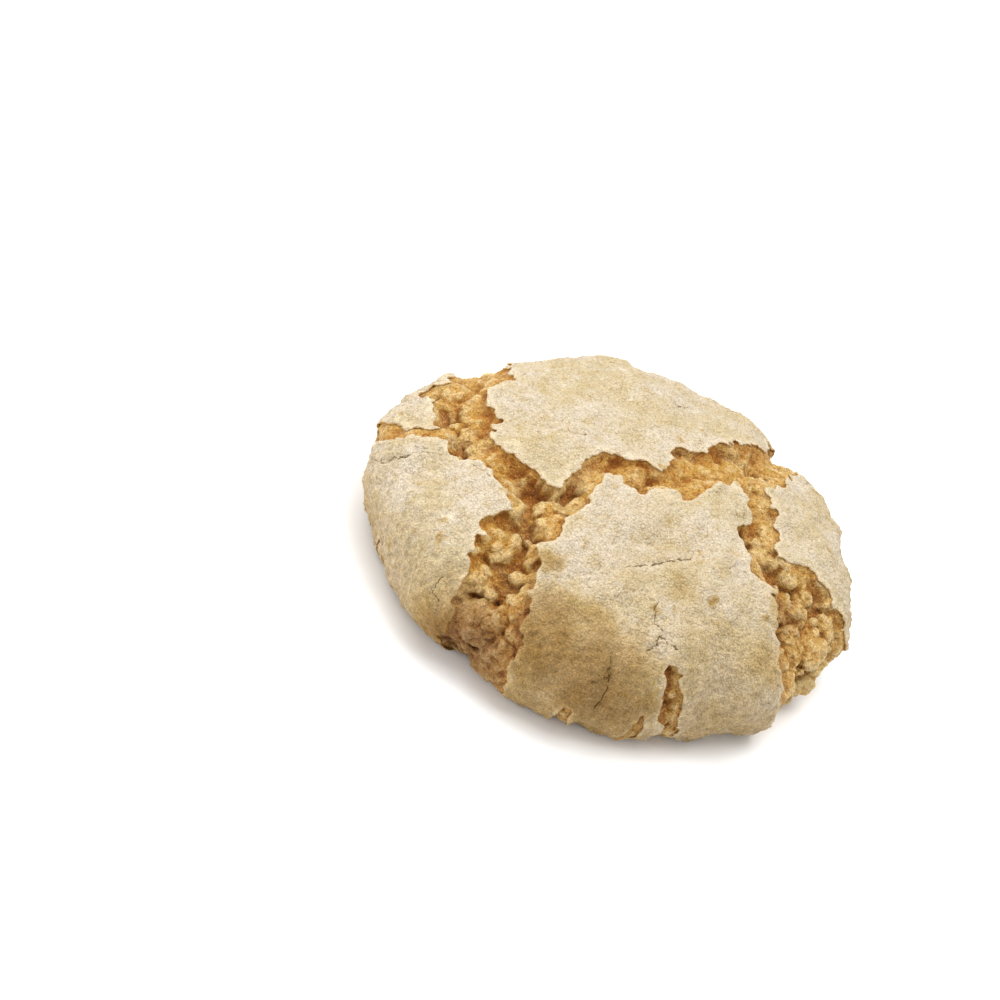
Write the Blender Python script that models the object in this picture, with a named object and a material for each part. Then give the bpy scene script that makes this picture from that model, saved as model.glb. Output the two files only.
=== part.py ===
"""An oatmeal cookie with a cracked, crackled top.

One baked solid: a domed round with a bulging rim and a flat underside.
The dry crust has torn along a few long cracks, and the soft crumb shows
as pebbly ground between the plates of crust.

Millimetres are used for the sizes below, metres for the mesh.
"""
import math

import bmesh
import bpy
import numpy as np

MM = 0.001

# overall form, in millimetres
MEAN_RADIUS = 39.5
HEIGHT = 25.0
WIDEST_AT = 9.0
BASE_RADIUS = 34.5
CROWN_ROUNDNESS = 2.25

# how the outline departs from a circle: waves round the rim, as a share
# of the radius (cosine, sine)
OUTLINE_WAVES = {2: (0.034, 0.010), 3: (-0.003, -0.012), 4: (0.018, 0.008), 9: (0.004, -0.006)}

# each crack has a lean, how much deeper it is along the plate that overhangs
# it, and runs through points on the dome, unrolled flat from its crown:
# right, back, half of the crack's width, depth
CRACKS = {
    "long crack": (0.35, [
        (-40, 34, 6.0, 1.0), (-31, 14, 4.6, 1.2), (-32, 5, 4.3, 1.4), (-29, 0, 4.4, 1.7),
        (-27, -5, 3.4, 1.7), (-21, -8.5, 3.6, 2.0), (-16.5, -12.5, 4.2, 2.1), (-12, -16, 3.8, 1.8),
        (-12, -20, 3.4, 1.3), (-16.5, -24, 4.8, 1.5), (-15.5, -29, 5.1, 1.7), (-14.8, -35, 5.8, 1.6),
        (-16, -42, 7.4, 1.4), (-19, -49, 8.8, 1.2), (-21, -58, 10.0, 1.0),
    ]),
    "corner inlet": (0.0, [(-33, 5, 1.8, 1.2), (-37, 6.5, 0.9, 0.9)]),
    "left branch": (0.3, [
        (-27, -4, 2.4, 1.5), (-32, -4.7, 1.1, 1.2), (-37, -5, 1.3, 1.2), (-42, -4, 1.8, 1.2), (-58, 0, 2.4, 1.0),
    ]),
    "back branch": (0.35, [
        (-11, -15, 3.0, 1.5), (-8.6, -7, 2.2, 1.5), (-6.5, -2.5, 2.8, 1.6), (-2, -2, 3.1, 1.6),
        (2, -2, 2.7, 1.6), (5.5, 1.5, 3.2, 1.6), (7.5, 6, 4.2, 1.7), (11.5, 9.5, 4.6, 1.7),
        (16, 14, 4.5, 1.6), (20.5, 21, 3.8, 1.4), (24, 30, 3.2, 1.2), (29, 48, 3.0, 1.0),
    ]),
    "right branch": (-0.3, [
        (13, 10, 3.4, 1.6), (19, 6.5, 2.8, 1.6), (19.8, 1, 2.3, 1.4), (19.8, -4, 2.8, 1.3),
        (23.5, -6.5, 3.4, 1.0), (28, -6.8, 5.0, 0.8), (32.5, -8.3, 6.5, 0.7), (37, -11.8, 8.8, 0.6),
        (41, -14.5, 10.8, 0.6), (48, -16, 12.8, 0.6), (58, -18.5, 15.0, 0.6),
    ]),
    "front crack": (-0.8, [
        (14.4, -31.2, 0.2, 0.8), (15.4, -33.2, 0.5, 0.9), (17.2, -35.4, 0.7, 0.9), (18.6, -37.4, 1.0, 1.0),
        (20.9, -39.4, 1.4, 1.0), (22.8, -41.6, 1.9, 1.0), (25.6, -44.6, 2.6, 0.9), (30, -50, 4.0, 0.8),
    ]),
    "foot tear": (0.0, [(16.5, -43, 0.3, 0.3), (18.3, -46, 1.2, 0.4), (19, -58, 2.6, 0.4)]),
    "low foot tear": (0.0, [(3.5, -48.5, 0.9, 0.4), (3.8, -58, 2.4, 0.4)]),
    "back rim crack": (0.0, [(-8, 34, 0.3, 0.5), (-9, 42, 1.2, 0.9), (-6, 50, 2.2, 0.9), (-6, 58, 3.0, 0.8)]),
    "far rim crack": (0.0, [(37, 22, 0.3, 0.5), (44, 25, 1.3, 0.9), (52, 28, 2.4, 0.8)]),
    "left rim crack": (0.0, [(-44, -24, 0.3, 0.5), (-49, -27, 1.2, 0.9), (-54, -30, 2.4, 0.8)]),
}


# a shallow groove where the front bulged round a hollow
BRUISE = [(6, -36, 0.4, 0.2), (7.5, -41, 0.8, 0.8), (8, -47, 0.6, 0.7), (7.5, -58, 1.0, 0.9)]

# a fold where the front of the crust has slid under its middle
FOLD_START = (-5.0, -27.5)
FOLD_END = (18.5, -7.5)
FOLD_STEP = 0.6
FOLD_REACH = 5.0

# how far the crust's torn edges wander, and how much they curl up
RAGGEDNESS = 1.0
CRUST_LIFT = 0.28
CRUMB_GRAINS = 900
GRAIN_RADII = (0.9, 2.3)

GRID_CELLS = 190
TARGET_TRIANGLES = 11400
SEED = 41


def dome_profile(samples=400):
    """Distance along the surface from the crown, with radius and height there."""
    turn = np.linspace(0.0, math.pi / 2, samples)
    power = 2.0 / CROWN_ROUNDNESS
    radius = MEAN_RADIUS * np.sin(turn) ** power
    height = WIDEST_AT + (HEIGHT - WIDEST_AT) * np.cos(turn) ** power
    low_radius = BASE_RADIUS + (MEAN_RADIUS - BASE_RADIUS) * np.cos(turn)
    low_height = WIDEST_AT * (1.0 - np.sin(turn))
    radius = np.concatenate([radius, low_radius[1:]])
    height = np.concatenate([height, low_height[1:]])
    steps = np.hypot(np.diff(radius), np.diff(height))
    along = np.concatenate([[0.0], np.cumsum(steps)])
    return along, radius, height


ALONG, RADIUS, RISE = dome_profile()
REACH = ALONG[-1]


def on_dome(right, back):
    """Points of the smooth dome under the unrolled positions."""
    along = np.hypot(right, back)
    turn = np.arctan2(back, right)
    stretch = np.ones_like(turn)
    for count, (cosine, sine) in OUTLINE_WAVES.items():
        stretch += cosine * np.cos(count * turn) + sine * np.sin(count * turn)
    radius = np.interp(along, ALONG, RADIUS) * stretch
    height = np.interp(along, ALONG, RISE)
    return np.stack([radius * np.cos(turn), radius * np.sin(turn), height], axis=-1)


def outward(right, back):
    """Unit directions out of the dome, level below its widest line."""
    step = 0.05
    across = on_dome(right + step, back) - on_dome(right - step, back)
    along = on_dome(right, back + step) - on_dome(right, back - step)
    out = np.cross(across, along)
    out[:, 2] = np.maximum(out[:, 2], 0.0)
    return out / np.maximum(np.linalg.norm(out, axis=1, keepdims=True), 1e-9)


def waves(points, length, seed, count=14):
    """A smooth random field, about -1 to 1, with bumps of the given length."""
    draw = np.random.default_rng(seed)
    heading = draw.normal(size=(count, 3))
    heading /= np.linalg.norm(heading, axis=1, keepdims=True)
    pitch = 2.0 * math.pi / (length * draw.uniform(0.7, 1.5, count))
    phase = draw.uniform(0.0, 2.0 * math.pi, count)
    total = np.zeros(len(points))
    for direction, rate, start in zip(heading, pitch, phase):
        total += np.sin(points @ direction * rate + start)
    return total / math.sqrt(count / 2.0) / 1.6


def to_crack(right, back, line):
    """Distance outside one crack's edge, its depth there and which side of it."""
    gap = np.full(right.shape, 1e3)
    depth = np.zeros(right.shape)
    side = np.zeros(right.shape)
    for (x0, y0, w0, d0), (x1, y1, w1, d1) in zip(line[:-1], line[1:]):
        dx, dy = x1 - x0, y1 - y0
        share = ((right - x0) * dx + (back - y0) * dy) / (dx * dx + dy * dy)
        share = np.clip(share, 0.0, 1.0)
        off_x = right - x0 - share * dx
        off_y = back - y0 - share * dy
        width = w0 + share * (w1 - w0)
        here = np.hypot(off_x, off_y) - width
        nearer = here < gap
        gap = np.where(nearer, here, gap)
        depth = np.where(nearer, d0 + share * (d1 - d0), depth)
        lean = (off_y * dx - off_x * dy) / math.hypot(dx, dy) / width
        side = np.where(nearer, lean, side)
    return gap, depth, side


def fold_drop(right, back):
    """How far the crust behind the fold sits below the crust in front of it."""
    run_x, run_y = FOLD_END[0] - FOLD_START[0], FOLD_END[1] - FOLD_START[1]
    length = math.hypot(run_x, run_y)
    along = ((right - FOLD_START[0]) * run_x + (back - FOLD_START[1]) * run_y) / length
    behind = ((back - FOLD_START[1]) * run_x - (right - FOLD_START[0]) * run_y) / length
    behind = behind + 0.7 * np.sin(along / 3.6) + 0.25 * np.sin(along / 1.1)
    ends = np.clip(along / 7.0, 0.0, 1.0) * np.clip((length - along) / 5.0, 0.0, 1.0)
    fall = np.clip(behind / 0.5, 0.0, 1.0) * np.exp(-np.maximum(behind, 0.0) / FOLD_REACH)
    return FOLD_STEP * fall * ends


def crumb_grains(points, torn):
    """Height of the rounded grains of crumb, the highest one at each point."""
    draw = np.random.default_rng(SEED + 7)
    ground = points[torn]
    centres = ground[draw.integers(0, len(ground), CRUMB_GRAINS)]
    centres = centres + draw.normal(scale=0.3, size=centres.shape)
    radii = draw.uniform(*GRAIN_RADII, CRUMB_GRAINS)
    caps = np.zeros(len(ground))
    for centre, radius in zip(centres, radii):
        away = ((ground - centre) ** 2).sum(axis=1)
        caps = np.maximum(caps, np.sqrt(np.maximum(radius * radius - away, 0.0)))
    height = np.zeros(len(points))
    height[torn] = caps
    return height


def relief(right, back, points):
    """Height of the baked surface above the smooth dome."""
    ragged = 0.8 * waves(points, 6.0, SEED) + 0.6 * waves(points, 2.4, SEED + 1)
    gap = np.full(right.shape, 1e3)
    depth = np.zeros(right.shape)
    side = np.zeros(right.shape)
    for lean, line in CRACKS.values():
        near, deep, which = to_crack(right, back, line)
        nearer = near < gap
        gap = np.where(nearer, near, gap)
        depth = np.where(nearer, deep, depth)
        side = np.where(nearer, lean * np.clip(which, -1.0, 1.0), side)
    gap = gap + RAGGEDNESS * ragged * np.clip(depth, 0.3, 1.0)

    swell = 0.7 * waves(points, 26.0, SEED + 2) + 0.45 * waves(points, 10.0, SEED + 3)
    crust = 0.22 * waves(points, 6.5, SEED + 8) + 0.14 * waves(points, 3.6, SEED + 4)
    crust += CRUST_LIFT * np.exp(-np.maximum(gap, 0.0) / 2.0)
    crust -= fold_drop(right, back)
    away, hollow, _ = to_crack(right, back, BRUISE)
    crust -= hollow * np.exp(-np.maximum(away, 0.0) / 0.9)

    inside = np.maximum(-gap, 0.0)
    wall = 1.0 - np.exp(-inside / 1.0)
    crumb = -(depth * (1.0 + side) + 0.35) * wall
    grains = crumb_grains(points, gap < 0.0)
    crumb += 0.85 * grains * np.clip(inside / 1.2, 0.0, 1.0)
    return swell + np.where(gap > 0.0, crust, crust + crumb)


def disc_from_square(a, b):
    """Maps the square from -1 to 1 onto the unit disc with even cells."""
    wide = np.abs(a) >= np.abs(b)
    safe_a = np.where(a == 0.0, 1.0, a)
    safe_b = np.where(b == 0.0, 1.0, b)
    turn = np.where(wide, math.pi / 4 * b / safe_a, math.pi / 2 - math.pi / 4 * a / safe_b)
    radius = np.where(wide, a, b)
    return radius * np.cos(turn), radius * np.sin(turn)


def bake_shell():
    """The domed upper surface, from a flat grid bent onto the dome."""
    mesh = bmesh.new()
    bmesh.ops.create_grid(mesh, x_segments=GRID_CELLS, y_segments=GRID_CELLS, size=1.0)
    flat = np.array([vert.co[:] for vert in mesh.verts])
    right, back = disc_from_square(flat[:, 0], flat[:, 1])
    right = right * REACH
    back = back * REACH
    points = on_dome(right, back)
    lift = relief(right, back, points)
    shaped = points + outward(right, back) * lift[:, None]
    settle = np.clip(points[:, 2] / 2.0, 0.0, 1.0)
    shaped[:, 2] = points[:, 2] + (shaped[:, 2] - points[:, 2]) * settle
    shaped[:, :2] -= (shaped[:, :2].max(axis=0) + shaped[:, :2].min(axis=0)) / 2.0
    for vert, place in zip(mesh.verts, shaped * MM):
        vert.co = place
    return mesh


def thin_out(mesh, collection):
    """Fewer triangles where the surface is smooth, kept where it is broken."""
    data = bpy.data.meshes.new("dense cookie")
    mesh.to_mesh(data)
    mesh.free()
    dense = bpy.data.objects.new("dense cookie", data)
    collection.objects.link(dense)
    thin = dense.modifiers.new("thin out", "DECIMATE")
    thin.ratio = TARGET_TRIANGLES / (2.0 * len(data.polygons))
    thin.use_collapse_triangulate = True
    graph = bpy.context.evaluated_depsgraph_get()
    result = bpy.data.meshes.new_from_object(dense.evaluated_get(graph))
    bpy.data.objects.remove(dense)
    bpy.data.meshes.remove(data)
    return result


def close_base(data):
    """A level rim and one flat face under the cookie."""
    mesh = bmesh.new()
    mesh.from_mesh(data)
    rim = [edge for edge in mesh.edges if edge.is_boundary]
    for edge in rim:
        for vert in edge.verts:
            vert.co.z = 0.0
    bmesh.ops.holes_fill(mesh, edges=rim, sides=0)
    bmesh.ops.recalc_face_normals(mesh, faces=mesh.faces)
    for face in mesh.faces:
        face.smooth = len(face.verts) == 3
    mesh.to_mesh(data)
    mesh.free()


def crust_material():
    material = bpy.data.materials.new("baked oatmeal crust")
    material.use_nodes = True
    shader = material.node_tree.nodes["Principled BSDF"]
    shader.inputs["Base Color"].default_value = (0.68, 0.54, 0.34, 1.0)
    shader.inputs["Roughness"].default_value = 0.85
    shader.inputs["Metallic"].default_value = 0.0
    material.diffuse_color = (0.68, 0.54, 0.34, 1.0)
    return material


def main():
    for old in list(bpy.data.objects):
        bpy.data.objects.remove(old)
    collection = bpy.data.collections.new("Oatmeal cookie")
    bpy.context.scene.collection.children.link(collection)
    data = thin_out(bake_shell(), collection)
    close_base(data)
    data.name = "cookie"
    data.materials.append(crust_material())
    cookie = bpy.data.objects.new("cookie", data)
    collection.objects.link(cookie)
    size = [round(side / MM, 2) for side in cookie.dimensions]
    print("cookie", size, "mm,", sum(len(face.vertices) - 2 for face in data.polygons), "triangles")


main()
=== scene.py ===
# %% [markdown]
# # A crackled oatmeal cookie
# A thick oatmeal cookie bakes from the outside in. Its skin dries to a pale crust
# while the dough below still swells, so the crust tears into plates and the soft
# golden crumb shows between them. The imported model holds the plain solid. This
# lesson dresses it: plates of crust with real thickness, pebbly crumb in the
# tears, and the brown underside that lay on the tray.

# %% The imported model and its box
import math

import bpy
import numpy as np
from mathutils import Matrix


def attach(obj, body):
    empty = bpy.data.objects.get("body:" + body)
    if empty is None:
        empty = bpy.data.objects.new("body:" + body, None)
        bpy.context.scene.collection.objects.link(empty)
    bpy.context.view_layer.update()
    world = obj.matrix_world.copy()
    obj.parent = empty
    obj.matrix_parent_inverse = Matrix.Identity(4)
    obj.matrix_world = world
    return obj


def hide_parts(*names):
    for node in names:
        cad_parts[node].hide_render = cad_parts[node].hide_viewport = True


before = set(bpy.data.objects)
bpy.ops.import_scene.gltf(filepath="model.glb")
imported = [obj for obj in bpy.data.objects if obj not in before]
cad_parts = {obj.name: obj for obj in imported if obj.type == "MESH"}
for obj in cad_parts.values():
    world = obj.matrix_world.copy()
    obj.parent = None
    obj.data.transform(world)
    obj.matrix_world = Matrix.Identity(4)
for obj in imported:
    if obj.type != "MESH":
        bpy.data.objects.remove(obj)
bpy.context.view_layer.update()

# %% [markdown]
# ## The dome
# Dough set down as a ball slumps to a round with a domed crown and a rim that
# bulges over its foot. The simplest mesh for that is a sphere squashed flat, but
# a sphere has poles, and cracks drawn on it would bunch up there. Here the whole
# skin is peeled off flat instead, like a disc of paper: a point is given by how
# far it lies right and back of the crown, measured along the surface. Every
# crack, crumb and stain is then laid out on that flat disc in millimetres.

# %% The dome from its profile
MM = 0.001

MEAN_RADIUS = 39.5
HEIGHT = 25.0
WIDEST_AT = 9.0
BASE_RADIUS = 34.5
CROWN_ROUNDNESS = 2.25
OUTLINE_WAVES = {2: (0.034, 0.010), 3: (-0.003, -0.012), 4: (0.018, 0.008), 9: (0.004, -0.006)}
SEED = 41


def dome_profile(samples=400):
    """Radius and height against distance from the crown.

    Above the widest line: radius = R sin(t)^(2/p), height = w + (H - w) cos(t)^(2/p).
    Below it, a quarter ellipse runs in to the foot.
    """
    turn = np.linspace(0.0, math.pi / 2, samples)
    power = 2.0 / CROWN_ROUNDNESS
    radius = MEAN_RADIUS * np.sin(turn) ** power
    height = WIDEST_AT + (HEIGHT - WIDEST_AT) * np.cos(turn) ** power
    low_radius = BASE_RADIUS + (MEAN_RADIUS - BASE_RADIUS) * np.cos(turn)
    low_height = WIDEST_AT * (1.0 - np.sin(turn))
    radius = np.concatenate([radius, low_radius[1:]])
    height = np.concatenate([height, low_height[1:]])
    steps = np.hypot(np.diff(radius), np.diff(height))
    return np.concatenate([[0.0], np.cumsum(steps)]), radius, height


ALONG, RADIUS, RISE = dome_profile()
REACH = ALONG[-1]


def on_dome(right, back):
    """Place on the smooth dome: radius(s) (1 + sum of rim waves) at heading t, height(s)."""
    along = np.hypot(right, back)
    turn = np.arctan2(back, right)
    stretch = np.ones_like(turn)
    for count, (cosine, sine) in OUTLINE_WAVES.items():
        stretch += cosine * np.cos(count * turn) + sine * np.sin(count * turn)
    radius = np.interp(along, ALONG, RADIUS) * stretch
    height = np.interp(along, ALONG, RISE)
    return np.stack([radius * np.cos(turn), radius * np.sin(turn), height], axis=-1)


def outward(right, back):
    """Unit normal of the dome, from two small steps; kept level below the widest line."""
    step = 0.05
    across = on_dome(right + step, back) - on_dome(right - step, back)
    along = on_dome(right, back + step) - on_dome(right, back - step)
    out = np.cross(across, along)
    out[..., 2] = np.maximum(out[..., 2], 0.0)
    return out / np.maximum(np.linalg.norm(out, axis=-1, keepdims=True), 1e-9)


print(f"skin reaches {REACH:.1f} mm from the crown to the foot")

# %% [markdown]
# ## Two kinds of roughness
# Baked dough is uneven at every size. Long soft swells come from the dough
# itself, so they are sums of sine waves with random headings. Crumb is different:
# it is made of rounded grains pressed together, with sharp creases between them.
# Blender's Voronoi texture draws such cells, but only in a material. The same
# idea in numpy gives grains that are really in the mesh.

# %% Waves and grains
def waves(points, length, seed, count=14):
    """Sum of sines, sin(k . p + phase), with random headings k and lengths near the given one."""
    draw = np.random.default_rng(seed)
    heading = draw.normal(size=(count, 3))
    heading /= np.linalg.norm(heading, axis=1, keepdims=True)
    pitch = 2.0 * math.pi / (length * draw.uniform(0.7, 1.5, count))
    phase = draw.uniform(0.0, 2.0 * math.pi, count)
    total = np.zeros(points.shape[:-1])
    for direction, rate, start in zip(heading, pitch, phase):
        total += np.sin(points @ direction * rate + start)
    return total / math.sqrt(count / 2.0) / 1.6


def chance(cell, seed):
    """A repeatable random number from 0 to 1 for each lattice cell: fraction of 43758 sin(dot)."""
    mixed = np.sin(cell @ np.array([12.9898, 78.233, 37.719]) + seed * 1.618) * 43758.5453
    return mixed - np.floor(mixed)


def grains(points, pitch, seed):
    """Height 0 to 1 of round grains, one in each cell of a lattice of the given pitch.

    A grain's cap is sqrt(1 - (distance / radius)^2), and the highest cap counts.
    """
    place = points / pitch
    home = np.floor(place)
    top = np.zeros(points.shape[:-1])
    for offset in np.stack(np.meshgrid(*[[-1, 0, 1]] * 3, indexing="ij"), -1).reshape(-1, 3):
        cell = home + offset
        centre = cell + np.stack([chance(cell, seed + axis) for axis in range(3)], axis=-1)
        radius = 0.55 + 0.45 * chance(cell, seed + 5)
        away = ((place - centre) ** 2).sum(axis=-1) / radius ** 2
        top = np.maximum(top, np.sqrt(np.maximum(1.0 - away, 0.0)) * radius)
    return top


sample = grains(np.random.default_rng(SEED).uniform(0, 30, (2000, 3)), 3.0, 1)
print("grain heights, mean and top:", sample.mean().round(2), sample.max().round(2))

# %% [markdown]
# ## Where the crust tore
# A tear starts at a weak place and wanders. Each one is a line of points with a
# half width and a depth, in millimetres on the peeled skin. The distance from
# that line, less the half width, tells crust from crumb: above zero is crust,
# below zero is open tear. A little noise added to the distance frays the edge.
# Painting a mask by hand would do the same job, but it couldn't be measured.

# %% The lines of the tears
# The same lines as on the solid, but for the left branch, which the finer noise
# would narrow. Its half widths are up to half a millimetre more here.
CRACKS = {
    "long crack": (0.35, [
        (-40, 34, 6.0, 1.0), (-31, 14, 4.6, 1.2), (-32, 5, 4.3, 1.4), (-29, 0, 4.4, 1.7),
        (-27, -5, 3.4, 1.7), (-21, -8.5, 3.6, 2.0), (-16.5, -12.5, 4.2, 2.1), (-12, -16, 3.8, 1.8),
        (-12, -20, 3.4, 1.3), (-16.5, -24, 4.8, 1.5), (-15.5, -29, 5.1, 1.7), (-14.8, -35, 5.8, 1.6),
        (-16, -42, 7.4, 1.4), (-19, -49, 8.8, 1.2), (-21, -58, 10.0, 1.0),
    ]),
    "corner inlet": (0.0, [(-33, 5, 1.8, 1.2), (-37, 6.5, 0.9, 0.9)]),
    "left branch": (0.3, [
        (-27, -4, 2.4, 1.5), (-32, -4.7, 1.5, 1.3), (-37, -5, 1.8, 1.4), (-42, -4, 2.2, 1.3),
        (-58, 0, 2.6, 1.0),
    ]),
    "back branch": (0.35, [
        (-11, -15, 3.0, 1.5), (-8.6, -7, 2.2, 1.5), (-6.5, -2.5, 2.8, 1.6), (-2, -2, 3.1, 1.6),
        (2, -2, 2.7, 1.6), (5.5, 1.5, 3.2, 1.6), (7.5, 6, 4.2, 1.7), (11.5, 9.5, 4.6, 1.7),
        (16, 14, 4.5, 1.6), (20.5, 21, 3.8, 1.4), (24, 30, 3.2, 1.2), (29, 48, 3.0, 1.0),
    ]),
    "right branch": (-0.3, [
        (13, 10, 3.4, 1.6), (19, 6.5, 2.8, 1.6), (19.8, 1, 2.3, 1.4), (19.8, -4, 2.8, 1.3),
        (23.5, -6.5, 3.4, 1.0), (28, -6.8, 5.0, 0.8), (32.5, -8.3, 6.5, 0.7), (37, -11.8, 8.8, 0.6),
        (41, -14.5, 10.8, 0.6), (48, -16, 12.8, 0.6), (58, -18.5, 15.0, 0.6),
    ]),
    "front crack": (-0.8, [
        (14.4, -31.2, 0.2, 0.8), (15.4, -33.2, 0.5, 0.9), (17.2, -35.4, 0.7, 0.9), (18.6, -37.4, 1.0, 1.0),
        (20.9, -39.4, 1.4, 1.0), (22.8, -41.6, 1.9, 1.0), (25.6, -44.6, 2.6, 0.9), (30, -50, 4.0, 0.8),
    ]),
    "foot tear": (0.0, [(16.5, -43, 0.3, 0.3), (18.3, -46, 1.2, 0.4), (19, -58, 2.6, 0.4)]),
    "low foot tear": (0.0, [(3.5, -48.5, 0.9, 0.4), (3.8, -58, 2.4, 0.4)]),
    "back rim crack": (0.0, [
        (-8, 34, 0.3, 0.5), (-9, 42, 1.2, 0.9), (-6, 50, 2.2, 0.9), (-6, 58, 3.0, 0.8),
    ]),
    "far rim crack": (0.0, [(37, 22, 0.3, 0.5), (44, 25, 1.3, 0.9), (52, 28, 2.4, 0.8)]),
    "left rim crack": (0.0, [(-44, -24, 0.3, 0.5), (-49, -27, 1.2, 0.9), (-54, -30, 2.4, 0.8)]),
}
# tags of skin that held on: right, back, radius
HELD = [(-20.2, -4.8, 1.1), (-23.6, -0.3, 1.0), (17.9, -33.0, 1.0)]
print(len(CRACKS), "tears")


# %% [markdown]
# A tear tapers, so its distance is taken stroke by stroke: from a point to each
# stretch of the line, less the half width there. The nearest stroke counts. It
# also says which side of the tear a point lies on, because a plate that lifts
# leaves one wall steep and the other shallow.

# %% Distance to the tears
def to_crack(right, back, line):
    """Distance to a chain of tapered strokes: distance to each stretch less its half width."""
    gap = np.full(right.shape, 1e3)
    depth = np.zeros(right.shape)
    side = np.zeros(right.shape)
    for (x0, y0, w0, d0), (x1, y1, w1, d1) in zip(line[:-1], line[1:]):
        dx, dy = x1 - x0, y1 - y0
        share = ((right - x0) * dx + (back - y0) * dy) / (dx * dx + dy * dy)
        share = np.clip(share, 0.0, 1.0)
        off_x = right - x0 - share * dx
        off_y = back - y0 - share * dy
        width = w0 + share * (w1 - w0)
        here = np.hypot(off_x, off_y) - width
        nearer = here < gap
        gap = np.where(nearer, here, gap)
        depth = np.where(nearer, d0 + share * (d1 - d0), depth)
        lean = (off_y * dx - off_x * dy) / math.hypot(dx, dy) / width
        side = np.where(nearer, lean, side)
    return gap, depth, side


def tears(right, back, points):
    """Distance to the nearest torn edge, the tear's depth and which of its sides this is."""
    gap = np.full(right.shape, 1e3)
    depth = np.zeros(right.shape)
    side = np.zeros(right.shape)
    for lean, line in CRACKS.values():
        near, deep, which = to_crack(right, back, line)
        nearer = near < gap
        gap = np.where(nearer, near, gap)
        depth = np.where(nearer, deep, depth)
        side = np.where(nearer, lean * np.clip(which, -1.0, 1.0), side)
    rough = np.clip(depth, 0.3, 1.0)
    gap = gap + rough * (0.8 * waves(points, 6.0, SEED) + 0.6 * waves(points, 2.4, SEED + 1))
    for place_right, place_back, reach in HELD:
        gap = np.maximum(gap, reach - np.hypot(right - place_right, back - place_back))
    fray = 0.35 * waves(points, 1.1, SEED + 11) + 0.20 * waves(points, 0.6, SEED + 12)
    return gap + rough * fray * np.exp(-np.abs(gap) / 0.7), depth, side


crown = on_dome(np.zeros(1), np.zeros(1))
print("crown lies", round(float(tears(np.zeros(1), np.zeros(1), crown)[0][0]), 1), "mm from a torn edge")

# %% [markdown]
# ## Swell, fold and lip
# The crust isn't flat between its tears. The dough under it swells unevenly, one
# plate has slid a little under the next along a fold, and each torn edge has
# curled up as it dried. These are heights above the dome, so they simply add.

# %% Fold, lip, dent and hairlines
FOLD_START = (-5.0, -27.5)
FOLD_END = (18.5, -7.5)
FOLD_STEP = 0.6
FOLD_REACH = 5.0
CRUST_LIFT = 0.28
CRUST_THICKNESS = 0.6
HAIRLINE = 0.1

BRUISE = [(6, -36, 0.4, 0.2), (7.5, -41, 0.8, 0.8), (8, -47, 0.6, 0.7), (7.5, -58, 1.0, 0.9)]
CREASES = {
    "fold on the left plate": [(-43, -9.5), (-39, -11.5), (-35.8, -12.2), (-34.1, -10.8), (-31.4, -10.0)],
    "dashes on the left plate": [(-24.4, -11.5), (-23.1, -12.4), (-21.7, -13.4)],
    "hairline by the crown": [(-13.4, 2.7), (-12.4, 1.4), (-10.8, 2.4)],
    "hairline at the back": [(1, 22), (3.5, 24), (6, 27.5)],
    "line of the fold": [(1.0, -22.8), (4.5, -20.2), (8.0, -17.6), (12.0, -14.2)],
    "hairline over the front crack": [
        (9.3, -25.4), (10.0, -28.6), (11.9, -30.2), (13.4, -31.4), (14.7, -31.3),
    ],
    "second front hairline": [(12.2, -30.7), (11.5, -32.5), (11.1, -33.9)],
    "nick on the left plate": [(-24.5, -33), (-25.6, -35.2), (-24.8, -36.8)],
    "crack in the bruise": [(6.2, -36.5), (7.0, -40), (8.2, -42.5), (8.0, -46)],
    "its short arm": [(7.0, -40), (5.2, -41.8)],
    "wrinkle low on the left": [(-36, -36), (-33.5, -38.5), (-32.5, -41)],
}
print(len(CREASES), "hairlines")


# %% [markdown]
# Each cause gets its own function. The fold is a step along a line that fades
# away behind it. A hairline is the thinnest tear of all: it is too fine for the
# mesh, so its distance is kept and the finish draws it.

# %% Heights of the crust
def fold_drop(right, back):
    """Behind the fold line the crust sits lower: step times exp(-distance / reach)."""
    run_x, run_y = FOLD_END[0] - FOLD_START[0], FOLD_END[1] - FOLD_START[1]
    length = math.hypot(run_x, run_y)
    along = ((right - FOLD_START[0]) * run_x + (back - FOLD_START[1]) * run_y) / length
    behind = ((back - FOLD_START[1]) * run_x - (right - FOLD_START[0]) * run_y) / length
    behind = behind + 0.7 * np.sin(along / 3.6) + 0.25 * np.sin(along / 1.1)
    ends = np.clip(along / 7.0, 0.0, 1.0) * np.clip((length - along) / 5.0, 0.0, 1.0)
    fall = np.clip(behind / 0.5, 0.0, 1.0) * np.exp(-np.maximum(behind, 0.0) / FOLD_REACH)
    return FOLD_STEP * fall * ends


def swell_of(points):
    """The dough's own unevenness: long swells and shorter ones."""
    long_swell = 0.7 * waves(points, 26.0, SEED + 2) + 0.45 * waves(points, 10.0, SEED + 3)
    return long_swell + 0.22 * waves(points, 6.5, SEED + 8)


def creasing(right, back, points):
    """For the nearest hairline: the distance across it, with a sign, and exp(-(distance / 0.4))."""
    across = np.full(right.shape, 9.0)
    share = np.zeros(right.shape)
    stray_right = right + 0.30 * waves(points, 2.4, SEED + 31) + 0.10 * waves(points, 0.9, SEED + 33)
    stray_back = back + 0.30 * waves(points, 2.4, SEED + 32) + 0.10 * waves(points, 0.9, SEED + 34)
    for line in CREASES.values():
        stroke = [(*place, HAIRLINE, 1.0) for place in line]
        away, _, which = to_crack(stray_right, stray_back, stroke)
        here = np.exp(-np.maximum(away, 0.0) / 0.4)
        across = np.where(here > share, which * HAIRLINE, across)
        share = np.maximum(share, here)
    return across, share


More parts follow.
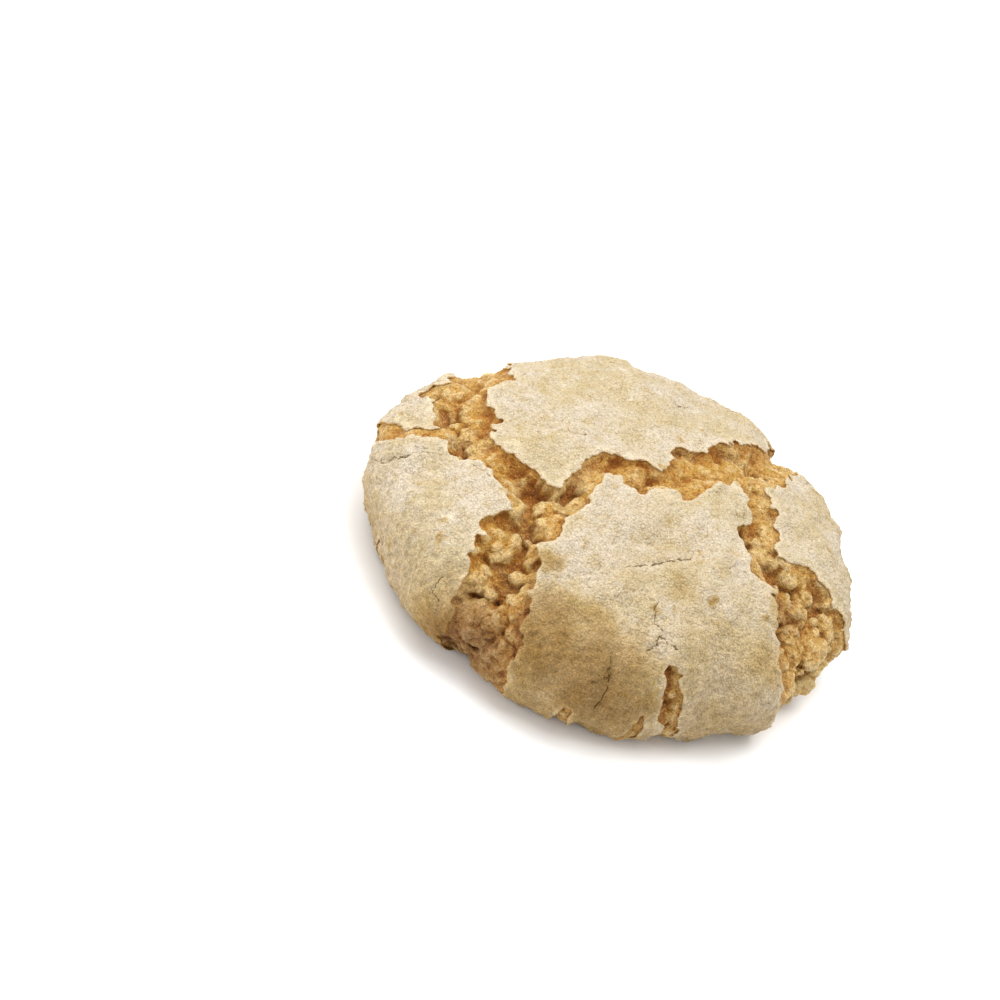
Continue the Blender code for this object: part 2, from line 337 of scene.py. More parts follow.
def crust_height(right, back, points, gap):
    """Swell, fine wrinkles and nodules of oat, rougher below 22 mm, plus the curl of the edge,
    less fold, bruise, hairlines and rounded lip.
    """
    open_gap = np.maximum(gap, 0.0)
    height = swell_of(points) - fold_drop(right, back)
    coarser = 1.0 + 0.9 * np.clip((22.0 - points[..., 2]) / 8.0, 0.0, 1.0)
    height += 0.14 * waves(points, 3.6, SEED + 4) + coarser * 0.07 * waves(points, 1.7, SEED + 5)
    height += coarser * 0.05 * waves(points, 0.9, SEED + 6)
    height += coarser * 0.5 * np.maximum(grains(points, 2.8, 61) - 0.82, 0.0)
    height += 0.40 * waves(points, 3.2, SEED + 7) * np.exp(-points[..., 2] / 2.5)
    height += 0.28 * waves(points, 4.5, SEED + 9) * np.exp(-points[..., 2] / 7.0)
    height += CRUST_LIFT * np.exp(-open_gap / 2.0)
    height -= 0.22 * np.exp(-open_gap / 0.2)
    away, hollow, _ = to_crack(right, back, BRUISE)
    height -= hollow * np.exp(-np.maximum(away, 0.0) / 0.9)
    return height - 0.30 * creasing(right, back, points)[1]


def settled(points, out, height):
    """Height laid on along the normal; near the foot only sideways, so that the foot stays level."""
    placed = points + out * height[..., None]
    share = np.clip(points[..., 2] / 2.0, 0.0, 1.0)
    placed[..., 2] = points[..., 2] + (placed[..., 2] - points[..., 2]) * share
    return placed


behind_fold = (np.array(FOLD_START) + np.array(FOLD_END)) / 2.0 + [-1.0, 1.0]
print("drop behind the fold:", fold_drop(behind_fold[:1], behind_fold[1:]).round(2), "mm")

# %% [markdown]
# ## From a sheet of points to a closed slab
# A plate of crust has a top, an underside and a broken edge. Solidify could make
# it from one sheet, but its edge would be clean, and here it is the edge that is
# looked at. So the slab is built in layers that share one grid: the first layer
# is the skin, the last the underside, and those between give the broken edge
# its own rough profile. Only cells that are kept get faces, and every border
# between a kept and a dropped cell gets a strip of wall.

# %% The grid over the skin
def flat_grid(cells):
    """Corner positions of a square grid over the peeled skin."""
    side = np.linspace(-REACH, REACH, cells + 1)
    back, right = np.meshgrid(side, side, indexing="ij")
    return right, back


def middles(values):
    """Value at each cell's middle: the mean of its four corners."""
    return (values[:-1, :-1] + values[1:, :-1] + values[:-1, 1:] + values[1:, 1:]) / 4.0


def softened(sheet, reach):
    """A sheet blurred over a reach in cells: its spectrum times exp(-2 (pi f reach)^2)."""
    rates = np.fft.fftfreq(sheet.shape[0])[:, None] ** 2 + np.fft.rfftfreq(sheet.shape[1])[None] ** 2
    spectrum = np.fft.rfft2(sheet) * np.exp(-2.0 * (math.pi * reach) ** 2 * rates)
    return np.fft.irfft2(spectrum, s=sheet.shape)


right, back = flat_grid(450)
print("a cell of a 450-cell grid measures", (right[0, 1] - right[0, 0]).round(3), "mm")

# %% [markdown]
# Which cells to keep is a picture of yes and no, and it needs a little care.
# Cells that touch at a corner alone would pinch the mesh, slits two cells wide
# would show as dotted lines, and tiny islands look like dirt. Spreading numbers
# through touching cells finds the islands and, later, the plates.

# %% Care of the kept cells
def tidy_corners(keep):
    """Fills cells so that no two kept cells meet at a corner alone."""
    for _ in range(3):
        a, b, c, d = keep[:-1, :-1], keep[:-1, 1:], keep[1:, :-1], keep[1:, 1:]
        rising = a & d & ~b & ~c
        falling = b & c & ~a & ~d
        keep[:-1, 1:] |= rising
        keep[:-1, :-1] |= falling
    return keep


def without_slits(keep):
    """Grows the kept cells by one all round and shrinks them again, which shuts slits two cells wide."""
    for grow in (True, False):
        padded = np.pad(keep, 1, constant_values=not grow)
        sides = [padded[:-2, 1:-1], padded[2:, 1:-1], padded[1:-1, :-2], padded[1:-1, 2:]]
        for side in sides:
            keep = (keep | side) if grow else (keep & side)
    return keep


def patch_numbers(keep):
    """Each kept cell starts with its own number, and the largest spreads through touching cells."""
    number = np.where(keep, np.arange(1, keep.size + 1, dtype=np.int32).reshape(keep.shape), 0)
    changed = True
    while changed:
        spread = number.copy()
        for _ in range(20):
            spread[1:] = np.maximum(spread[1:], spread[:-1]) * keep[1:]
            spread[:-1] = np.maximum(spread[:-1], spread[1:]) * keep[:-1]
            spread[:, 1:] = np.maximum(spread[:, 1:], spread[:, :-1]) * keep[:, 1:]
            spread[:, :-1] = np.maximum(spread[:, :-1], spread[:, 1:]) * keep[:, :-1]
        changed = bool((spread != number).any())
        number = spread
    return number


def without_islands(gap, cells):
    """Closes openings smaller than a number of cells: gap becomes |gap| + 0.1 on their corners."""
    patch = patch_numbers(middles(gap) < 0.0)
    found, sizes = np.unique(patch, return_counts=True)
    small = np.pad(np.isin(patch, found[sizes < cells]), 1)
    touched = small[:-1, :-1] | small[1:, :-1] | small[:-1, 1:] | small[1:, 1:]
    return np.where(touched, np.abs(gap) + 0.1, gap)


two_squares = np.zeros((6, 6), bool)
two_squares[1:3, 1:3] = True
two_squares[4:, 4:] = True
print("patches in a small test:", len(np.unique(patch_numbers(two_squares))) - 1)

# %% [markdown]
# A border cut along grid cells would be a staircase. So the corners on it slide
# down the slope of the distance until they stand on the torn edge itself.

# %% The border and the slab
def border_of(keep):
    """Grid corners that touch both a kept and a dropped cell."""
    padded = np.pad(keep, 1)
    count = padded[:-1, :-1].astype(int) + padded[1:, :-1] + padded[:-1, 1:] + padded[1:, 1:]
    return (count > 0) & (count < 4)


def pull_to_edge(right, back, gap, border):
    """Moves border corners onto the line where gap is 0: p - gap * grad / |grad|^2."""
    step = right[0, 1] - right[0, 0]
    slope_back, slope_right = np.gradient(gap, step)
    steep = np.maximum(slope_right ** 2 + slope_back ** 2, 0.2)
    shift = np.clip(gap, -step, step) / steep
    right = np.where(border, right - shift * slope_right, right)
    back = np.where(border, back - shift * slope_back, back)
    return right, back, slope_right, slope_back


def slab(name, keep, layers, values=None):
    """A closed mesh from a list of layers on one grid, first the skin, last the underside."""
    across = keep.shape[1] + 1
    row, column = np.nonzero(keep)
    corner = row * across + column
    quad = np.stack([corner, corner + 1, corner + across + 1, corner + across], axis=1)
    size = layers[0][..., 0].size
    faces = [quad, quad[:, ::-1] + size * (len(layers) - 1)]
    padded = np.pad(keep, 1)
    inner = padded[1:-1, 1:-1]
    sides = [
        (inner & ~padded[:-2, 1:-1], 0, 1), (inner & ~padded[1:-1, 2:], 1, 2),
        (inner & ~padded[2:, 1:-1], 2, 3), (inner & ~padded[1:-1, :-2], 3, 0),
    ]
    # a strip of wall along every open side, one for each pair of layers
    for open_side, start, end in sides:
        edge = quad[open_side[row, column]][:, [start, end]]
        for layer in range(len(layers) - 1):
            high, low = edge + size * layer, edge + size * (layer + 1)
            faces.append(np.stack([high[:, 1], high[:, 0], low[:, 0], low[:, 1]], axis=1))
    faces = np.concatenate(faces)
    # only the corners that a face uses become vertices
    used, faces = np.unique(faces, return_inverse=True)
    faces = faces.reshape(-1, 4)
    places = np.concatenate([layer.reshape(-1, 3) for layer in layers])[used]
    mesh = bpy.data.meshes.new(name)
    mesh.vertices.add(len(places))
    mesh.vertices.foreach_set("co", (places * MM).astype(np.float32).ravel())
    mesh.loops.add(faces.size)
    mesh.loops.foreach_set("vertex_index", faces.astype(np.int32).ravel())
    mesh.polygons.add(len(faces))
    mesh.polygons.foreach_set("loop_start", np.arange(0, faces.size, 4, dtype=np.int32))
    smooth = np.arange(len(faces)) < 2 * len(quad)
    mesh.update(calc_edges=True)
    mesh.polygons.foreach_set("use_smooth", smooth)
    for label, value in (values or {}).items():
        store = mesh.attributes.new(label, "FLOAT", "POINT")
        each = value if isinstance(value, list) else [value] * len(layers)
        whole = np.concatenate([part.ravel() for part in each])[used]
        store.data.foreach_set("value", whole.astype(np.float32))
    mesh.validate()
    piece = bpy.data.objects.new(name, mesh)
    bpy.context.scene.collection.objects.link(piece)
    print(name, "triangles:", 2 * len(faces))
    return piece


# %% [markdown]
# ## Where the cookie stands
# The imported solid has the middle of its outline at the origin. The same middle
# is found here from a coarse sheet of crust, and every later layer is moved by it.

# %% The shift to the solid's middle
COARSE_CELLS = 190

right, back = flat_grid(COARSE_CELLS)
on_skin = np.hypot(right, back) <= REACH
right, back = right[on_skin], back[on_skin]
smooth_dome = on_dome(right, back)
coarse_gap = tears(right, back, smooth_dome)[0]
coarse = settled(smooth_dome, outward(right, back), crust_height(right, back, smooth_dome, coarse_gap))
MIDDLE = np.array([*(coarse[:, :2].max(axis=0) + coarse[:, :2].min(axis=0)) / 2.0, 0.0])
print("outline's middle on the dome:", MIDDLE.round(2), "mm")

# %% [markdown]
# ## Plates of crust
# With the distance to the nearest tear known at every corner, a cell is crust
# where that distance is above zero and short of the foot. Touching cells belong
# to one plate, and which ones touch is found by letting numbers spread.

# %% Cutting the crust into plates
CRUST_CELLS = 450
SMALLEST_GAP = 120
SMALLEST_FLAKE = 40

right, back = flat_grid(CRUST_CELLS)
points = on_dome(right, back)
gap, depth, side = tears(right, back, points)
gap = without_islands(softened(gap, 0.8), SMALLEST_GAP)
crust_gap = np.minimum(gap, REACH - np.hypot(right, back))
is_crust = tidy_corners(without_slits(middles(crust_gap) > 0.0))

plate = patch_numbers(is_crust)
found, sizes = np.unique(plate[plate > 0], return_counts=True)
is_crust &= ~np.isin(plate, found[sizes < SMALLEST_FLAKE])
print("plates of crust, in cells:", sorted(sizes.tolist(), reverse=True)[:12])

# %% [markdown]
# The broken edge of a plate leans in under it, rough as the crumb it tore from.
# Below the skin each layer is drawn inwards by a share of the thickness, with a
# little noise, so the edge is a fracture and not a cut.

# %% Layers of the crust
border = border_of(is_crust)
right, back, slope_right, slope_back = pull_to_edge(right, back, crust_gap, border)
edge_gap = np.where(border, 0.0, crust_gap)
points = on_dome(right, back)
out = outward(right, back)
height_gap = np.where(border, np.clip(gap, 0.0, 1.0), gap)
height = crust_height(right, back, points, height_gap)


def crust_layer(share, draw_in):
    """The skin moved down by a share of the thickness and in by a distance at its edge."""
    rough = draw_in * (1.0 + 0.8 * waves(points, 1.1, SEED + 20 + int(10 * share)))
    moved_right = right + np.where(border, rough * slope_right, 0.0)
    moved_back = back + np.where(border, rough * slope_back, 0.0)
    base = on_dome(moved_right, moved_back)
    layer = settled(base, out, height - share * CRUST_THICKNESS)
    layer[..., 2] = np.maximum(layer[..., 2], 0.15)
    return layer - MIDDLE


# share of the thickness, how far the edge is drawn in
EDGE_PROFILE = [(0.0, 0.0), (0.3, -0.02), (0.65, 0.18), (1.0, 0.45)]
crust_layers = [crust_layer(share, draw_in) for share, draw_in in EDGE_PROFILE]
highest = float(crust_layers[0][..., 2][border].max())
print("crust stands", round(highest, 1), "mm high at its highest torn edge")

# %% [markdown]
# Some of the skin is darker than the rest: low lobes at the front, partly
# browned where they stood nearest the heat and partly painted shade, a patch
# of crumb by the middle plate's right edge, and a few blots where sugar
# gathered. Each is a round stain with a soft edge, given by its place and size
# in millimetres. They are kept in the mesh as a value from 0 to 1, next to the
# distance to the torn edge and the hairlines, so the finish can follow them.

# %% Stains, edges and hairlines as values
# browning stains and blots; on the low front lobes they are partly painted shade
# right, back, size, strength
STAINS_AND_SHADE = [
    (-4.5, -39, 8.0, 0.74), (4.0, -41.5, 8.5, 0.72), (8.0, -38.5, 6.5, 0.60), (11.5, -43, 6.0, 0.62),
    (2.0, -34.5, 5.0, 0.50), (-3, -50, 9.0, 0.25), (14, -50, 8.0, 0.30), (23.0, -31, 11.0, 0.16),
    (10, -24, 15.0, 0.06), (-20, -45, 10.5, 0.85), (-9.0, -27.0, 2.2, 0.5), (30.5, -22, 5.0, 0.25),
    (29.5, -12, 4.5, 0.45), (12, -21, 2.5, 0.2), (17.3, -19.0, 0.8, 0.75), (8.4, -33.5, 0.6, 0.45),
    (9.6, -26.0, 0.8, 0.45), (-25.2, -27.3, 0.9, 0.5), (13.0, -13.0, 0.6, 0.4),
]
OAT_FLECKS = 70


def browning_and_shade(right, back, points):
    """The strongest of the stains, partly painted shade, and oat flecks: strength exp(-(distance /
    size)^4).
    """
    strongest = np.zeros(right.shape)
    draw = np.random.default_rng(SEED + 42)
    flecks = np.column_stack([
        draw.uniform(-50, 50, OAT_FLECKS), draw.uniform(-50, 50, OAT_FLECKS),
        draw.uniform(0.35, 0.9, OAT_FLECKS), draw.uniform(0.2, 0.45, OAT_FLECKS),
    ])
    stray_right = right + 0.9 * waves(points, 7.0, SEED + 43) + 0.3 * waves(points, 1.5, SEED + 44)
    stray_back = back + 0.9 * waves(points, 7.0, SEED + 45) + 0.3 * waves(points, 1.5, SEED + 46)
    for place_right, place_back, size, strength in [*STAINS_AND_SHADE, *flecks.tolist()]:
        away = np.hypot(stray_right - place_right, stray_back - place_back) / size
        strongest = np.maximum(strongest, strength * np.exp(-away ** 4))
    return strongest


toast_and_shade = browning_and_shade(right, back, points)
across, crease = creasing(right, back, points)
crust_values = {
    "edge": [edge_gap, edge_gap - 0.3, edge_gap - 0.7, edge_gap - 1.0],
    "toast_and_shade": toast_and_shade, "across": across, "crease": crease,
}
print("browned share of the skin:", round(float((toast_and_shade > 0.3).mean()), 2))

# %% [markdown]
# Each plate is found by a place that surely lies on it. It becomes its own closed
# piece, which keeps each one light and lets it be looked at alone.

# %% One closed piece for each plate
# right, back
PLATE_PLACES = {
    "crust_back": (0, 20), "crust_middle": (5, -18), "crust_left": (-35, -22),
    "crust_right": (34, 8), "crust_corner": (-41, 8),
}

crust_pieces = []
left_over = is_crust.copy()
for name, (place_right, place_back) in PLATE_PLACES.items():
    column = int((place_right + REACH) / (2 * REACH) * CRUST_CELLS)
    row = int((place_back + REACH) / (2 * REACH) * CRUST_CELLS)
    this = (plate == plate[row, column]) & left_over
    left_over &= ~this
    crust_pieces.append(slab(name, this, crust_layers, crust_values))
if left_over.any():
    crust_pieces.append(slab("crust_flakes", left_over, crust_layers, crust_values))

# %% [markdown]
# ## Crumb in the tears
# Crumb is the inside of the cookie pulled apart: knots of oat and dough from
# 5 mm down to the size of sugar grains. Its sheet is cut like the crust's, but it
# runs on a little way under the plates, so no gap opens below their edges.

# %% Cutting the crumb's sheet
CRUMB_CELLS = 545
CRUMB_TUCK = 1.7
SMALLEST_TEAR = 190

right, back = flat_grid(CRUMB_CELLS)
points = on_dome(right, back)
gap, depth, side = tears(right, back, points)
gap = without_islands(softened(gap, 1.0), SMALLEST_TEAR)
crumb_gap = np.minimum(CRUMB_TUCK - gap, REACH - 0.3 - np.hypot(right, back))
is_crumb = tidy_corners(middles(crumb_gap) > 0.0)
border = border_of(is_crumb)
right, back, slope_right, slope_back = pull_to_edge(right, back, crumb_gap, border)
points = on_dome(right, back)
out = outward(right, back)

# the corners that the sheet uses, and those just past its border
near = np.zeros(gap.shape, bool)
row, column = np.nonzero(is_crumb)
for step_row, step_column in ((-1, -1), (-1, 2), (2, -1), (2, 2), (0, 0), (0, 1), (1, 0), (1, 1)):
    near[np.clip(row + step_row, 0, CRUMB_CELLS), np.clip(column + step_column, 0, CRUMB_CELLS)] = True
print("crumb covers", int(is_crumb.sum()), "cells")

# %% [markdown]
# The heights take two passes. The first sets the depth of the tear and the big
# knots, outwards from the dome, and keeps them under the crust beside them. The
# second lays the smaller grains on that rough surface, each along the way it
# really faces. In one pass the grains on a steep wall would be drawn out into
# streaks.

# %% The crumb's big knots
KNOT_PITCH = 5.0
KNOT_HEIGHT = 2.7
KNOT_LEVEL = 0.62
UNDER_THE_CRUST = 0.35

here = points[near]
inside = 0.05 - gap[near]
wall = 1.0 - np.exp(-np.maximum(inside, 0.0) / 1.5)
warp = np.stack([waves(here, 3.2, 50 + axis) for axis in range(3)], axis=-1)
dried = np.clip((1.8 - depth) / 0.7, 0.0, 1.0)
knots = grains(here + (0.35 + 0.35 * dried[near])[:, None] * warp, KNOT_PITCH, 3)
bare = swell_of(here)
knot_height = (KNOT_HEIGHT + 0.5 * dried[near]) * np.clip(inside / 1.5, 0.1, 1.0)
knot_height += 0.3 * np.clip(inside - 1.5, 0.0, 4.0)
big = -0.20 - depth[near] * (1.0 + side[near]) * wall + knot_height * (knots - KNOT_LEVEL)
roof = crust_height(right[near], back[near], here, gap[near]) - UNDER_THE_CRUST
roof += 0.8 * np.maximum(inside, 0.0) - 0.2 * np.clip(gap[near], 0.0, 2.0)
big = bare + np.where(big > 0.0, 0.5 * big, big)
crumb_height = swell_of(points) - 1.0
crumb_height[near] = np.minimum(big, roof)
crumb_skin = settled(points, out, crumb_height)
print("big knots stand", round(float(np.ptp(knots) * KNOT_HEIGHT), 1), "mm over their creases")

# %% The smaller grains, laid along the way the surface faces
# pitch of the grains, their height, and the seed of their places
LUMPS = (2.3, 0.75, 11)
GRIT = (1.05, 0.40, 23)
SUGAR = (0.55, 0.26, 37)
GRAIN_LEVEL = 0.6


def facing(sheet):
    """Unit normals of a sheet of points: the cross product of its two steps."""
    step_back, step_right = np.gradient(sheet, axis=(0, 1))
    normal = np.cross(step_right, step_back)
    return normal / np.maximum(np.linalg.norm(normal, axis=-1, keepdims=True), 1e-9)


here = crumb_skin[near]
patchy = np.clip(0.6 + 0.5 * waves(here, 7.0, SEED + 50), 0.15, 1.1)
fine = np.zeros(len(here))
for (pitch, rise, seed), moved, share in [(LUMPS, 0.3 * warp, patchy), (GRIT, 0.0, 1.0), (SUGAR, 0.0, 1.0)]:
    fine += rise * share * (grains(here + moved, pitch, seed) - GRAIN_LEVEL)
crumb_skin[near] += facing(crumb_skin)[near] * (fine * np.clip(inside / 0.6, 0.05, 1.0))[:, None]
crumb_height[near] += fine
print("crumb lies up to", round(float((bare - crumb_height[near]).max()), 1), "mm below the dome")

# %% [markdown]
# The finish needs to know how high each point stands among its neighbours, for
# it paints a highlight on the tips and paints shade in the hollows. That is its
# height less the same sheet blurred: over 0.8 mm for the tips of grains, over
# 1.5 mm and 4 mm for the hollows. Where crust lies beside, its level is blurred
# in too, because it shades the tear.

# %% Values for painted highlight and shade: how raised, sunk, browned, dried and overhung each point is
CRUMB_THICKNESS = 2.2

cell = 2.0 * REACH / CRUMB_CELLS
skyline = np.where(gap > 0.0, swell_of(points) + 0.3, crumb_height)
raised = np.clip(0.55 + (crumb_height - softened(skyline, 0.8 / cell)) / 0.9, 0.0, 1.0)
sunk = np.clip((softened(skyline, 1.5 / cell) - crumb_height) / 1.8, 0.0, 1.0)
depth_below = np.clip((softened(skyline, 4.0 / cell) - crumb_height) / 3.0, 0.0, 1.0)
crumb_under = settled(points, out, crumb_height - CRUMB_THICKNESS) - MIDDLE
crumb_skin = crumb_skin - MIDDLE
for layer in (crumb_skin, crumb_under):
    layer[..., 2] = np.maximum(layer[..., 2], 0.3)
# the same stains on the crumb: browning, and partly painted shade
browned_and_shaded = np.zeros(gap.shape)
browned_and_shaded[near] = browning_and_shade(right[near], back[near], points[near])
# painted shade on the crumb beside a torn edge, where a plate leans over the tear
overhang_shade = np.clip(side / 0.35, 0.0, 1.0) * np.exp(-np.maximum(np.abs(gap) - 1.0, 0.0) / 1.5)
crumb_values = {
    "raised": raised, "sunk": sunk, "deep": depth_below, "toast_and_shade": browned_and_shaded, "dried": dried, "overhang_shade": overhang_shade,
}
print("mean of raised and sunk:", raised[near].mean().round(2), sunk[near].mean().round(2))

# %% [markdown]
# The long crack's crumb is one piece and the rest the other, which keeps each
# light enough to export whole. They meet where the back branch leaves.

# %% Two closed pieces of crumb
west = middles(to_crack(right, back, CRACKS["long crack"][1])[0])
east = middles(to_crack(right, back, CRACKS["back branch"][1])[0])
is_west = is_crumb & (west < east + 1.2) & (middles(right) < 0.0)
crumb_pieces = [
    slab("crumb_left", is_west, [crumb_skin, crumb_under], crumb_values),
    slab("crumb_right", is_crumb & ~is_west, [crumb_skin, crumb_under], crumb_values),
]

# %% [markdown]
# ## The inside and the tray side
# Under crust and crumb the cookie is solid. A plain closed body fills it, which
# matters only where light might leak through. The underside baked flat against
# the tray. It is made second: a level, pitted sheet.

# %% Filling
FILL_CELLS = 110

right, back = flat_grid(FILL_CELLS)
fill_gap = REACH - 2.0 - np.hypot(right, back)
is_fill = tidy_corners(middles(fill_gap) > 0.0)
right, back, _, _ = pull_to_edge(right, back, fill_gap, border_of(is_fill))
points = on_dome(right, back)
core = points + outward(right, back) * (swell_of(points) - 5.4)[..., None]
core[..., 2] = np.maximum(core[..., 2], 1.6)
floor_layer = core.copy()
floor_layer[..., 2] = 0.8
fill = slab("inner_crumb", is_fill, [core - MIDDLE, floor_layer - MIDDLE])

# %% [markdown]
# The underside's outline is the foot of the dome with its swells. Steam lifted
# the dough off the tray here and there, which left shallow pits, and the rim
# turns up a little before it meets the crust.

# %% Underside
BASE_CELLS = 245

right, back = flat_grid(BASE_CELLS)
base_gap = REACH - np.hypot(right, back)
is_base = tidy_corners(middles(base_gap) > 0.0)
right, back, _, _ = pull_to_edge(right, back, base_gap, border_of(is_base))
share = np.hypot(right, back) / REACH
turn = np.arctan2(back, right)
foot = on_dome(REACH * np.cos(turn), REACH * np.sin(turn))
foot_swell = settled(foot, outward(REACH * np.cos(turn), REACH * np.sin(turn)), swell_of(foot) - 0.6)
tray_side = foot_swell * share[..., None]
pits = np.clip(waves(tray_side, 5.0, 71) - 0.35, 0.0, 1.0) * 0.35
pits += np.clip(waves(tray_side, 1.6, 72) - 0.55, 0.0, 1.0) * 0.30
tray_side[..., 2] = pits + 0.9 * np.clip((share - 0.955) / 0.045, 0.0, 1.0) ** 2
upper_side = tray_side.copy()
upper_side[..., 2] = 1.3
base_layers = [upper_side - MIDDLE, tray_side - MIDDLE]
underside = slab("baked_underside", is_base, base_layers, {"share": share})

# %% [markdown]
# ## Finishes
# Colours are written as they look on a screen and turned to linear light by one
# function, since shaders add light and not screen values.

# %% Colours
def linear(code, alpha=1.0):
    """sRGB hex to linear: c / 12.92 in the darks, ((c + 0.055) / 1.055)^2.4 above."""
    parts = [int(code[i:i + 2], 16) / 255.0 for i in (1, 3, 5)]
    return tuple(c / 12.92 if c <= 0.04045 else ((c + 0.055) / 1.055) ** 2.4 for c in parts) + (alpha,)


print("cream crust in linear light:", [round(c, 3) for c in linear("#ead8b8")[:3]])

# %% [markdown]
# One more function adds a node with its settings and links, which keeps each
# finish readable. Every finish starts from the same place: the piece's own Object
# coordinates, scaled so that one unit of a pattern is one millimetre.

# %% A node, and a blank finish
def add(tree, kind, sockets=None, **settings):
    """One node: settings by name, sockets by name or number, a value or another node's output."""
    made = tree.nodes.new(kind)
    for name, value in settings.items():
        setattr(made, name, value)
    for name, value in (sockets or {}).items():
        if isinstance(value, bpy.types.NodeSocket):
            tree.links.new(value, made.inputs[name])
        else:
            made.inputs[name].default_value = value
    return made


def blank(name):
    """A new material with its shader, and Object coordinates in millimetres."""
    material = bpy.data.materials.new(name)
    material.use_nodes = True
    tree = material.node_tree
    place = add(tree, "ShaderNodeTexCoord").outputs["Object"]
    scaled = add(tree, "ShaderNodeMapping", {"Vector": place, "Scale": (1.0 / MM,) * 3})
    return material, tree, tree.nodes["Principled BSDF"], scaled.outputs["Vector"]


print("one metre of a piece spans", round(1.0 / MM), "units of a pattern")

# %% [markdown]
# A finish is then built up as a baker sees it. First come the patterns it reads,
# then tints laid over a ground colour one by one. Browning works another way: it
# multiplies, so that the grain below still shows through the brown. Speckle
# multiplies too, by a brightness on either side of one.

# %% Patterns, tints, browning and speckle
def patterns(tree, place, noises, spots, stored):
    """What a finish reads, by name: noises (size, detail, roughness, distortion), round spots (size),
    with sizes in millimetres, and values stored in the mesh.
    """
    found = {}
    for name, (size, detail, roughness, distortion) in noises.items():
        sockets = {"Vector": place, "Scale": 1.0 / size, "Detail": detail, "Roughness": roughness}
        made = add(tree, "ShaderNodeTexNoise", {**sockets, "Distortion": distortion})
        found[name] = made.outputs["Fac"]
    for name, size in spots.items():
        made = add(tree, "ShaderNodeTexVoronoi", {"Vector": place, "Scale": 1.0 / size})
        found[name] = made.outputs["Distance"]
    for name in stored:
        found[name] = add(tree, "ShaderNodeAttribute", attribute_name=name).outputs["Fac"]
    return found


def tinted(tree, colour, values, tints):
    """Tints laid over a colour, each as its named value runs from start to end, at most so strong."""
    for name, start, end, most, tint in tints:
        span = {"Value": values[name], "From Min": start, "From Max": end, "To Max": most}
        share = add(tree, "ShaderNodeMapRange", span, interpolation_type="SMOOTHSTEP").outputs["Result"]
        mixed = add(tree, "ShaderNodeMix", {0: share, 6: colour, 7: linear(tint)}, data_type="RGBA")
        colour = mixed.outputs[2]
    return colour


def multiplied(tree, colour, shares):
    """A colour times each tint, as far as the tint's share from 0 to 1 says."""
    for share, tint in shares:
        product = {0: share, 6: colour, 7: linear(tint)}
        product = add(tree, "ShaderNodeMix", product, data_type="RGBA", blend_type="MULTIPLY")
        colour = product.outputs[2]
    return colour


def speckled(tree, colour, pattern, start, end, darkest, palest):
    """A colour times a brightness from darkest to palest, as the pattern runs from start to end."""
    span = {"Value": pattern, "From Min": start, "From Max": end, "To Min": darkest, "To Max": palest}
    shade = add(tree, "ShaderNodeMapRange", span).outputs["Result"]
    return add(tree, "ShaderNodeVectorMath", {0: colour, "Scale": shade}, operation="SCALE").outputs[0]


print("a finish is built by", [step.__name__ for step in (patterns, tinted, multiplied, speckled)])

# %% [markdown]
# ### Dry baked crust
# Flour, sugar and egg dried to a thin skin: cream where it dried first, tan in
# slow stains, darker low on the side, partly toasted where the tray's heat
# reached it and partly painted shade. It has no gloss. Under a raking light it
# shows pores about half a millimetre wide and flecks of bran. A torn edge is a
# shade warmer than the skin.
#
# The patterns come first, each with the size of the real thing it stands for:
# stains 9 mm apart, bran 1.5 mm, sugar 0.4 mm. Flour dust is finer than the
# picture can show, so grain and grit are drawn at about a quarter millimetre.

# %% Patterns of the crust
# size, detail, roughness, distortion
CRUST_NOISES = {
    "stain": (9.0, 3.0, 0.5, 0.0), "crowd": (3.5, 1.0, 0.5, 0.0), "mottle": (2.4, 5.0, 0.65, 0.0),
    "bran": (1.5, 1.0, 0.5, 0.6), "speck": (1.1, 4.0, 0.7, 0.0), "dashes": (0.8, 1.0, 0.5, 0.0),
    "fleck": (0.75, 3.0, 0.6, 0.0), "grain": (0.26, 2.0, 0.5, 0.0), "grit": (0.22, 1.0, 0.5, 0.0),
}
CRUST_SPOTS = {"sugar": 0.40, "pores": 1.3}
CRUST_STORED = ("edge", "toast_and_shade", "across", "crease")
print("crust patterns from", min(size for size, *_ in CRUST_NOISES.values()), "mm up")

# %% [markdown]
# Light tints and dark tints are mixed in turn. Each row names what it follows,
# where its tint begins and is full, the most that it covers, and the tint. The
# value "low" falls towards the foot, and its rows darken the foot, partly
# browning and partly painted shade; "pits" is small in a pore where pores crowd,
# and "hairline" is high on a hairline.

# %% Tints of the crust
CRUST_GROUND = "#c0b39f"
# what it follows, start, end, most, tint
CRUST_TINTS = [
    ("stain", 0.36, 0.62, 0.80, "#b3a27d"), ("mottle", 0.46, 0.74, 0.72, "#aa9566"),
    # the low rows darken towards the foot: partly browning, partly painted shade
    ("mottle", 0.44, 0.28, 0.80, "#cbc2b1"), ("low", 15.0, -2.0, 0.60, "#a08352"),
    ("low", -1.0, -6.5, 0.75, "#795b30"), ("sugar", 0.40, 0.10, 0.16, "#d6cbb8"),
    ("grain", 0.45, 0.28, 0.40, "#cdc1aa"), ("sugar", 0.50, 0.85, 0.34, "#84693a"),
    ("grain", 0.55, 0.75, 0.40, "#80673c"), ("fleck", 0.56, 0.74, 0.50, "#937b4e"),
    ("bran", 0.72, 0.84, 0.70, "#80683c"), ("pits", 0.47, 0.40, 0.60, "#6b5430"),
    ("edge", 1.5, 0.1, 0.45, "#d3c3a6"), ("edge", 0.10, -0.2, 0.85, "#c49c5c"),
    ("edge", -0.3, -1.0, 0.85, "#b27d33"), ("hairline", 1.52, 2.00, 0.85, "#573f20"),
]
print(len(CRUST_TINTS), "tints over the crust's ground colour")

# %% [markdown]
# A hairline is drawn where the stored distance across it is small. A fleck
# pattern shifts it a little to and fro, and a second one breaks it into dashes.

